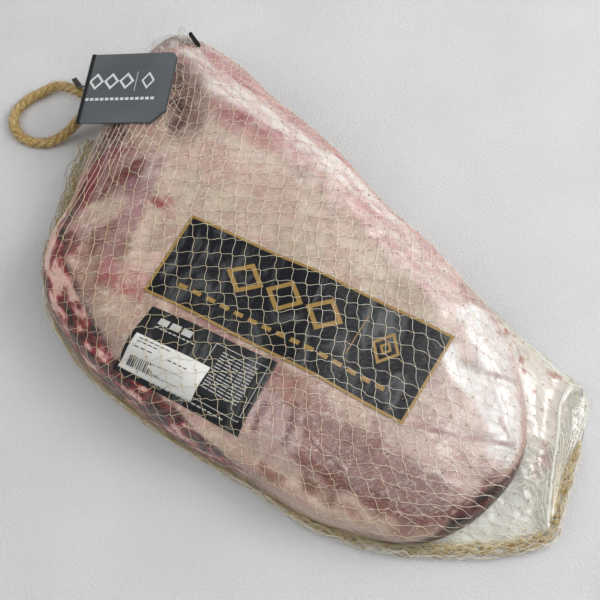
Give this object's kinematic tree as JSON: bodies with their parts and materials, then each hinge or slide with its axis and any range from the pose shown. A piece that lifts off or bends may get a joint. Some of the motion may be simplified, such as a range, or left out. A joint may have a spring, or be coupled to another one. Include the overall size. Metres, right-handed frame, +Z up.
{
  "type": "packed wagyu brisket",
  "caption": "Whole beef brisket sealed in clear vacuum film inside a thread net, with a rope loop and folded hang tag at one end and a free film edge at the other.",
  "frame": {"origin": "centre of the box's underside, on the table, with the rope loop left out of the box", "axes": "+X along the meat from the rope loop to the film's free end, +Z up, the labels near the -Y side"},
  "size_m": [0.59, 0.2904, 0.076],
  "materials": {
    "filmed_beef": "raw beef with a pale fat cap under tight clear film",
    "clear_film": "clear crumpled film",
    "net_thread": "gathered light gold thread",
    "jute_rope": "twisted hairy jute",
    "dark_label": "satin printed label",
    "white_paper": "matt paper sticker",
    "grey_card": "matt coated card",
    "black_plastic": "moulded black plastic"
  },
  "bodies": {
    "root": {"brisket_pack": "filmed_beef", "film_tail": "clear_film", "net_hem": "net_thread", "net_fold_near": "net_thread", "net_fold_far": "net_thread", "net_neck": "net_thread", "film_corner": "clear_film", "rope_loop": "jute_rope", "info_label": "dark_label", "price_sticker": "white_paper", "hang_tag": "grey_card", "neck_clip": "black_plastic", "bag_clip": "black_plastic"}
  },
  "joints": []
}
